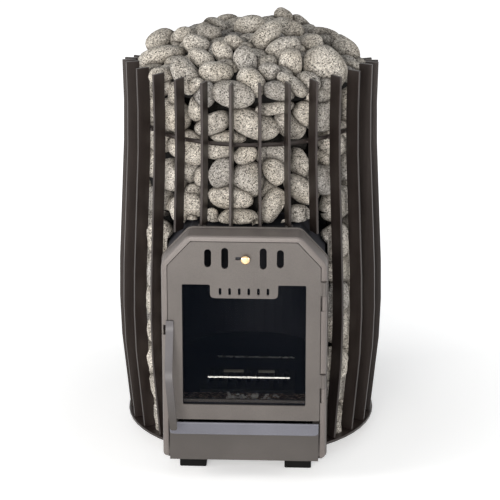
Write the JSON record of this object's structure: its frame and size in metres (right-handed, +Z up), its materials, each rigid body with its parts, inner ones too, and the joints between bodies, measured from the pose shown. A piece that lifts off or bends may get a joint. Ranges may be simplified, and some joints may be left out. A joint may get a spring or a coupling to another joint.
{
  "type": "sauna heater stove",
  "caption": "Wood-burning sauna heater stove: a barrel cage of upright flat bars filled with stones round a firebox with a glazed hinged door and an ash drawer.",
  "frame": {"origin": "on the floor, on the axis of the cage", "axes": "+X to the right of someone facing the door, +Y to the back, +Z up; the door faces -Y"},
  "size_m": [0.5234, 0.7146, 0.8412],
  "materials": {
    "bar_steel": "dark heat-proof paint",
    "grey_paint": "satin warm grey heat-proof paint",
    "firebox_steel": "matt dark steel",
    "bright_steel": "turned bare steel",
    "cast_iron": "raw casting",
    "foot_black": "matt black",
    "ceramic_glass": "clear ceramic glass",
    "rope_seal": "woven glass rope",
    "granite": "tumbled speckled stone"
  },
  "bodies": {
    "stove": {"base_plate": "bar_steel", "cage_bar_01": "bar_steel", "cage_bar_02": "bar_steel", "cage_bar_03": "bar_steel", "cage_bar_04": "bar_steel", "cage_bar_05": "bar_steel", "cage_bar_06": "bar_steel", "cage_bar_07": "bar_steel", "cage_bar_08": "bar_steel", "cage_bar_09": "bar_steel", "cage_bar_10": "bar_steel", "cage_bar_11": "bar_steel", "cage_bar_12": "bar_steel", "cage_bar_13": "bar_steel", "cage_bar_14_lower": "bar_steel", "cage_bar_14_upper": "bar_steel", "cage_bar_15_lower": "bar_steel", "cage_bar_15_upper": "bar_steel", "cage_bar_16": "bar_steel", "cage_bar_17": "bar_steel", "cage_bar_18": "bar_steel", "cage_bar_19": "bar_steel", "cage_bar_20": "bar_steel", "cage_bar_21": "bar_steel", "cage_bar_22": "bar_steel", "cage_bar_23": "bar_steel", "cage_bar_24": "bar_steel", "cage_bar_25": "bar_steel", "cage_bar_26": "bar_steel", "cage_bar_27": "bar_steel", "cage_bar_28": "bar_steel", "cage_hoop": "bar_steel", "catch_spring": "bright_steel", "fire_grate": "cast_iron", "firebox_shell": "firebox_steel", "flame_baffle": "cast_iron", "flue_spigot": "firebox_steel", "foot_front_left": "foot_black", "foot_front_right": "foot_black", "foot_rear_left": "foot_black", "foot_rear_right": "foot_black", "front_collar": "grey_paint", "front_plate": "grey_paint", "hinge_pin_lower": "bright_steel", "hinge_pin_upper": "bright_steel", "stones_crown": "granite", "stones_front": "granite", "stones_left": "granite", "stones_rear": "granite", "stones_right": "granite"},
    "door": {"door_panel": "grey_paint", "door_glass": "ceramic_glass", "glass_gasket": "rope_seal", "glass_retainer": "firebox_steel", "door_seal": "rope_seal", "door_handle": "grey_paint"},
    "air_control": {"air_slide": "firebox_steel", "air_knob": "bright_steel"},
    "ash_drawer": {"ash_drawer_front": "grey_paint", "ash_drawer_tray": "firebox_steel"}
  },
  "joints": [
    {"name": "door_hinge", "type": "hinge", "parent": "stove", "child": "door", "pos_m": [0.151, -0.306, 0.2855], "axis": [0, 0, 1], "range_deg": [0, 110], "deforming": ["catch_spring"]},
    {"name": "air_slide_travel", "type": "slide", "parent": "door", "child": "air_control", "axis": [-1, 0, 0], "range_m": [0, 0.016]},
    {"name": "ash_drawer_slide", "type": "slide", "parent": "stove", "child": "ash_drawer", "axis": [0, -1, 0], "range_m": [0, 0.28]}
  ]
}
